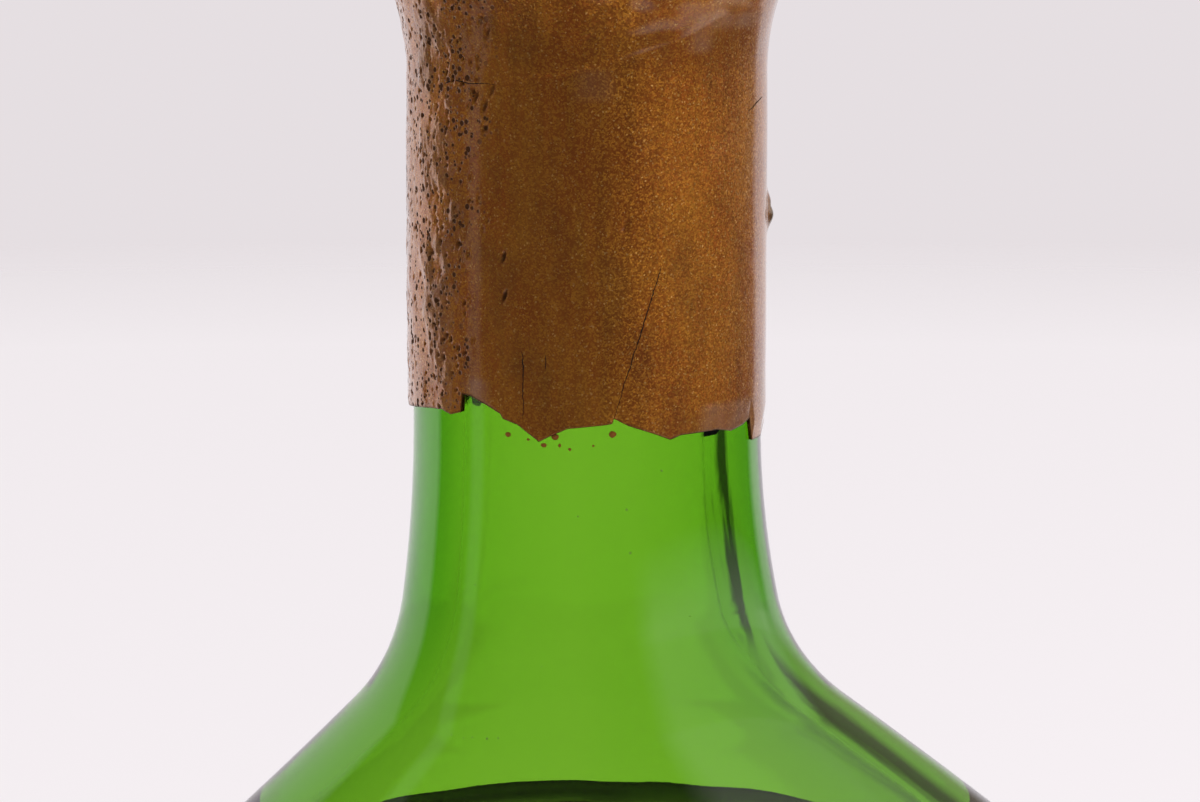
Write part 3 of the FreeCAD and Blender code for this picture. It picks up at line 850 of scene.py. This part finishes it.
def clear_material(name, tinted, roughness, ior, wave=None):
    """Something clear that colours by its thickness."""
    material, wiring = new_material(name)
    shader = wiring.make("ShaderNodeBsdfPrincipled", Base_Color=(1, 1, 1, 1), Roughness=roughness,
                         IOR=ior, Transmission_Weight=1.0)
    if wave:
        wiring.join(wave(wiring), shader.inputs["Normal"])
    volume = wiring.make("ShaderNodeVolumeAbsorption", Color=rgba(tinted.colour),
                         Density=tinted.density)
    wiring.make("ShaderNodeOutputMaterial", Surface=shader.outputs[0], Volume=volume.outputs[0])
    return material


def glass_wave(wiring):
    """The normal of slightly uneven glass, its waves longer up the bottle than round it."""
    spot = wiring.make("ShaderNodeTexCoord").outputs["Object"]
    tall = wiring.stretched(spot, (1, 1, 0.35))
    wave = wiring.noise(tall, scale=130.0, detail=1.0)
    peel = wiring.noise(tall, scale=620.0)
    bump = wiring.make("ShaderNodeBump", Strength=0.12, Distance=0.3 * MM,
                       Height=wiring.maths("MULTIPLY_ADD", peel, 0.10, wave))
    return bump.outputs["Normal"]


def plain_material(name, colour, roughness):
    """One colour, not shiny."""
    material, wiring = new_material(name)
    shader = wiring.make("ShaderNodeBsdfPrincipled", Base_Color=rgba(colour), Roughness=roughness,
                         Specular_IOR_Level=0.1)
    wiring.make("ShaderNodeOutputMaterial", Surface=shader.outputs[0])
    return material


def wax_material(wax):
    """Brown sealing wax full of gold mica under a glossy skin, pitted on one side."""
    material, wiring = new_material("seal_wax")
    between, times = wiring.between, wiring.times
    spot = wiring.make("ShaderNodeTexCoord").outputs["Object"]
    rough, crust, deep, edge, painted_reflection, drip = (wiring.mask(name) for name in
                                             ("rough", "crust", "pit", "edge", "painted_reflection", "drip"))
    # Scales are for each metre. Clouds, streaks and smudges are taller than wide.
    cloud = wiring.noise(wiring.stretched(spot, (1, 1, 0.4)), 260.0, detail=4.0, roughness=0.6)
    streak = wiring.noise(wiring.stretched(spot, (1, 1, 0.08)), 1100.0, detail=3.0, roughness=0.6)
    smudge = wiring.noise(wiring.stretched(spot, (1, 1, 0.55)), 210.0, detail=4.0, roughness=0.6)
    _, flake, (flake_mica, flake_spark, _) = wiring.cells(spot, 8000.0)

    # Small dimples, crowded in places, each with a painted highlight on its rim and painted shade
    # inside.
    distance, _, (dimple_size, _, _) = wiring.cells(spot, 1900.0)
    crowd = between(wiring.noise(spot, 420.0), 0.34, 0.52, 0.5, 1.0)
    size = times(between(dimple_size, 0.1, 1.0, 0.10, 0.52), crowd)
    depth = wiring.maths("SUBTRACT", size, distance)
    dots = times(between(depth, -0.02, 0.09), rough)
    painted_rim_highlight = times(between(depth, -0.12, -0.02), rough)
    pit = wiring.most(deep, dots)

    mica = wiring.maths("ADD", between(flake_mica, 0.35, 1.0, 0.08, 0.36),
                        between(cloud, 0.35, 0.7, 0.0, 0.14))
    colour = wiring.layered(
        rgba(wax.brown, 0.86),
        (between(streak, 0.35, 0.65), rgba(wax.brown, 1.1)),
        (mica, rgba(wax.gold)),
        (times(between(flake_spark, 0.95, 1.0), 0.5), rgba(wax.glint)),
        (between(smudge, 0.5, 0.72, 0.0, 0.38), rgba(wax.smudge_and_pit_shade)),
        (times(crust, 0.30), rgba(wax.crust_and_rim_highlight)),
        # Painted highlight on the rims of the dimples.
        (times(painted_rim_highlight, 0.25), rgba(wax.crust_and_rim_highlight)),
        # Painted reflection of the soft boxes, laid into the colour.
        (times(painted_reflection, 0.45), rgba(wax.painted_reflection)),
        # Painted shade deep in the pits and dimples.
        (times(pit, 0.9), rgba(wax.smudge_and_pit_shade)),
        # Painted shade along the broken edge and on its face.
        (times(edge, 0.8), rgba(wax.crack_and_edge_shade)),
        (times(drip, 0.8), rgba(wax.drop)))

    # The coat follows the bump alone, and the mica below it leans each flake its own way.
    grit = times(wiring.noise(spot, 2600.0, 3.0, 0.6), crust)
    height = wiring.maths("ADD", times(streak, 0.30), times(dots, -1.6))
    bump = wiring.make("ShaderNodeBump", Strength=0.45, Distance=0.05 * MM,
                       Height=wiring.maths("ADD", height, grit)).outputs["Normal"]
    lean = wiring.vector("MULTIPLY_ADD", flake, (0.24,) * 3, (-0.12,) * 3).outputs[0]
    turned = wiring.vector("ADD", bump, lean).outputs[0]
    whole = between(wiring.most(pit, edge), 0.0, 1.0, 1.0, 0.0)
    shader = wiring.make(
        "ShaderNodeBsdfPrincipled", Base_Color=colour, Metallic=0.85,
        Roughness=between(pit, 0.0, 1.0, 0.38, 0.9), IOR=1.45,
        Normal=wiring.vector("NORMALIZE", turned).outputs[0],
        Coat_Weight=times(whole, between(crust, 0.0, 1.0, 1.0, 0.7)), Coat_Roughness=0.07,
        Coat_IOR=1.5, Coat_Normal=bump)
    wiring.make("ShaderNodeOutputMaterial", Surface=shader.outputs[0])
    return material


# ---------------------------------------------------------------- operators

class FLASK_OT_glass(bpy.types.Operator):
    """Makes the green glass bottle"""
    bl_idname = "flask.glass"
    bl_label = "Glass bottle"

    def execute(self, context):
        glass = context.scene.flask_glass
        green = clear_material("green_glass", glass, roughness=0.01, ior=1.52, wave=glass_wave)
        place("bottle", glass_mesh(glass), green, ["glass_bottle"])
        return {"FINISHED"}


class FLASK_OT_drink(bpy.types.Operator):
    """Fills the bottle with spirit up to its level"""
    bl_idname = "flask.drink"
    bl_label = "Spirit"

    def execute(self, context):
        drink = context.scene.flask_drink
        amber = clear_material("armagnac", drink, roughness=0.0, ior=1.36)
        place("spirit", drink_mesh(context.scene.flask_glass, drink), amber,
              ["armagnac"])
        return {"FINISHED"}


class FLASK_OT_wax(bpy.types.Operator):
    """Dips neck and mouth in wax, broken off at its lower edge"""
    bl_idname = "flask.wax"
    bl_label = "Sealing wax"

    def execute(self, context):
        wax = context.scene.flask_wax
        place("wax", wax_mesh(wax, context.scene.flask_glass), wax_material(wax),
              ["wax_seal"])
        return {"FINISHED"}


class FLASK_OT_cracks(bpy.types.Operator):
    """Draws the painted shade of hairline cracks on the wax"""
    bl_idname = "flask.cracks"
    bl_label = "Cracks"

    def execute(self, context):
        wax = context.scene.flask_wax
        context.view_layer.update()
        place("cracks", crack_mesh(wax), plain_material("crack_dark", wax.crack_and_edge_shade, 0.8))
        return {"FINISHED"}


class FLASK_OT_flecks(bpy.types.Operator):
    """Scatters crumbs of wax and specks of dust on the glass"""
    bl_idname = "flask.flecks"
    bl_label = "Crumbs and specks"

    def execute(self, context):
        scene = context.scene
        context.view_layer.update()
        place("crumbs", lumps_mesh("crumbs", CRUMBS, flat=False),
              plain_material("wax_crumb", scene.flask_wax.crumb, 0.5))
        place("specks", lumps_mesh("specks", SPECKS, flat=True),
              plain_material("speck_grey", scene.flask_glass.dust, 0.6))
        return {"FINISHED"}


class FLASK_OT_studio(bpy.types.Operator):
    """Sets the floor, the pale surroundings, the lamp and the camera"""
    bl_idname = "flask.studio"
    bl_label = "Studio"

    def execute(self, context):
        scene = context.scene
        studio = scene.flask_studio
        make_floor(studio)
        make_world(scene, studio)
        make_lamp(studio)
        make_camera(scene, studio)
        scene.view_settings.view_transform = "Standard"
        return {"FINISHED"}


# ---------------------------------------------------------------- studio

FLOOR_RINGS = (0.05, 0.3, 1.0)       # radii in metres of the rings inside the floor's edge
FLOOR_DROP = 0.05 * MM               # floor below the foot, so that both don't lie in one place
GLOSSY_FADE = (0.12, 0.30)           # metres over which the floor fades out of the gloss

# What stands round the flask, in degrees: bearings from the back (+Y) towards +X, heights from
# level. A sector is (from, to, softness), a slope is (from, to). The slit and the corner are dark
# gaps that show through the glass, and what follows them shows only in the gloss.
FLOOR_END = (-7.2, -5.4)
SLIT, SLIT_DIMS = (47.5, 56, 2), (7, 14)
CORNER, CORNER_DARKENS = (2, 33, 4), (4, 12)
DIM_LEFT, DIM_RIGHT = (-69, -63), (40, 48)
ASIDE, ASIDE_RISES = (6, 72, 6), (0, 9)
STRIP = (-108, -98, 2)
WINDOW, PANES = (47, 148, 7), ((-2, 7, 2), (-85, -42, 4), (-33, -25, 2))
HIGH_PANE, FAINT_PANE = (36, 42), (-2, 4)


def make_floor(studio):
    """A round pale floor that fades into the wall at its edge."""
    rings = [ellipse_ring(0, radius, radius, 0, 96) for radius in (*FLOOR_RINGS, studio.floor_radius)]
    mesh = skin("floor", rings, (0, 0, 0), None)
    mesh.flip_normals()
    floor = bpy.data.objects.new("floor", mesh)
    bpy.context.scene.collection.objects.link(floor)
    floor.location.z = -FLOOR_DROP
    material, wiring = new_material("pale_floor")
    spot = wiring.make("ShaderNodeTexCoord").outputs["Object"]
    away = wiring.vector("LENGTH", spot).outputs["Value"]
    glossy = wiring.make("ShaderNodeLightPath").outputs["Is Glossy Ray"]
    fade = wiring.most(wiring.between(away, studio.fade_start, studio.floor_radius),
                       wiring.times(wiring.between(away, *GLOSSY_FADE), glossy))
    paint = wiring.make("ShaderNodeBsdfDiffuse", Color=rgba(studio.pale))
    clear = wiring.make("ShaderNodeBsdfTransparent")
    blend = wiring.make("ShaderNodeMixShader", fade, paint.outputs[0], clear.outputs[0])
    wiring.make("ShaderNodeOutputMaterial", Surface=blend.outputs[0])
    mesh.materials.append(material)


def make_world(scene, studio):
    """Pale surroundings for the eye and through glass, a studio for gloss, and a plain light."""
    world = bpy.data.worlds.new("studio")
    scene.world = world
    world.use_nodes = True
    world.node_tree.nodes.clear()
    wiring = Wiring(world.node_tree)
    between, times = wiring.between, wiring.times
    toward = wiring.make("ShaderNodeTexCoord").outputs["Generated"]
    x, y, z = wiring.make("ShaderNodeSeparateXYZ", toward).outputs
    bearing = wiring.maths("DEGREES", wiring.maths("ARCTAN2", x, y))
    height = wiring.maths("DEGREES", wiring.maths("ARCSINE", z))
    pale, wall, key, dim, taupe, dusk, plain = (
        rgba(getattr(studio, name))
        for name in ("pale", "wall_pale", "key", "dim", "taupe", "dusk", "plain"))

    def sector(value, start, end, soft):
        """1 between start and end, with soft edges."""
        return times(between(value, start - soft, start + soft),
                     between(value, end - soft, end + soft, 1.0, 0.0))

    back = wiring.layered(pale, (between(height, *FLOOR_END), wall))
    ragged = between(wiring.noise(toward, 14.0, 3.0), 0.3, 0.7, -3.0, 3.0)
    shifted = wiring.maths("ADD", bearing, ragged)
    gap = wiring.most(times(sector(shifted, *SLIT), between(height, *SLIT_DIMS, 0.95, 0.25)),
                      times(sector(shifted, *CORNER), between(height, *CORNER_DARKENS, 0.0, 0.97)))
    through = wiring.layered(back, (gap, dusk))

    panes = wiring.most(*(sector(height, *pane) for pane in PANES), between(height, *HIGH_PANE),
                        between(height, *FAINT_PANE, 0.0, 0.75))
    gloss = wiring.layered(
        back,
        (between(bearing, *DIM_LEFT, 1.0, 0.0), dim),
        (between(bearing, *DIM_RIGHT), dim),
        (times(sector(bearing, *ASIDE), between(height, *ASIDE_RISES)), taupe),
        (times(sector(bearing, *STRIP), 0.42), pale),
        (times(sector(bearing, *WINDOW), panes), key))

    ray = wiring.make("ShaderNodeLightPath").outputs
    colour = wiring.layered(plain, (ray["Is Glossy Ray"], gloss),
                            (ray["Is Transmission Ray"], through), (ray["Is Camera Ray"], wall))
    shown = wiring.make("ShaderNodeBackground", Color=colour, Strength=1.0)
    wiring.make("ShaderNodeOutputWorld", Surface=shown.outputs[0])


def make_lamp(studio):
    """One large soft lamp at the right and above, for shape and shadow."""
    data = bpy.data.lights.new("key", "AREA")
    data.shape = "RECTANGLE"
    data.size = studio.lamp_wide
    data.size_y = studio.lamp_tall
    data.energy = studio.lamp_power
    lamp = bpy.data.objects.new("key", data)
    bpy.context.scene.collection.objects.link(lamp)
    turned = studio.lamp_bearing
    lamp.location = (studio.lamp_away * math.sin(turned), studio.lamp_away * math.cos(turned),
                     studio.lamp_height)
    aim = Vector((0, 0, studio.lamp_aim)) - lamp.location
    lamp.rotation_euler = aim.to_track_quat("-Z", "Y").to_euler()
    lamp.visible_camera = False
    lamp.visible_glossy = False
    lamp.visible_transmission = False


def make_camera(scene, studio):
    """The camera, close to the neck and a little above it."""
    data = bpy.data.cameras.new("camera")
    data.lens = studio.lens
    data.sensor_width = 36
    data.clip_start = 0.01
    data.clip_end = 50
    camera = bpy.data.objects.new("camera", data)
    scene.collection.objects.link(camera)
    lift = studio.camera_lift
    back = Vector((0, -math.cos(lift), math.sin(lift)))
    camera.location = (Vector((studio.view_side, 0, studio.view_height))
                       + back * studio.camera_distance)
    camera.rotation_euler = (-back).to_track_quat("-Z", "Y").to_euler()
    scene.camera = camera


# ---------------------------------------------------------------- add-on

GROUPS = {"flask_studio": FlaskStudio, "flask_glass": FlaskGlass, "flask_drink": FlaskDrink,
          "flask_wax": FlaskWax}
BUTTONS = {FLASK_OT_studio: "flask_studio", FLASK_OT_glass: "flask_glass",
           FLASK_OT_drink: "flask_drink", FLASK_OT_wax: "flask_wax", FLASK_OT_cracks: None,
           FLASK_OT_flecks: None}


class FLASK_PT_panel(bpy.types.Panel):
    """Buttons, sizes and colours of the flask"""
    bl_idname = "FLASK_PT_panel"
    bl_label = "Flask"
    bl_space_type = "VIEW_3D"
    bl_region_type = "UI"
    bl_category = "Flask"

    def draw(self, context):
        for button, name in BUTTONS.items():
            box = self.layout.box()
            box.operator(button.bl_idname)
            if name:
                for key in GROUPS[name].__annotations__:
                    box.prop(getattr(context.scene, name), key)


def register():
    for name, group in GROUPS.items():
        bpy.utils.register_class(group)
        setattr(bpy.types.Scene, name, PointerProperty(type=group))
    for button in (*BUTTONS, FLASK_PT_panel):
        bpy.utils.register_class(button)


def unregister():
    for button in (FLASK_PT_panel, *reversed(BUTTONS)):
        bpy.utils.unregister_class(button)
    for name, group in reversed(GROUPS.items()):
        delattr(bpy.types.Scene, name)
        bpy.utils.unregister_class(group)


def main():
    """Builds the scene."""
    register()
    bpy.ops.flask.studio()
    bpy.ops.flask.glass()
    bpy.ops.flask.drink()
    bpy.ops.flask.wax()
    bpy.ops.flask.cracks()
    bpy.ops.flask.flecks()


if __name__ == "__main__":
    main()
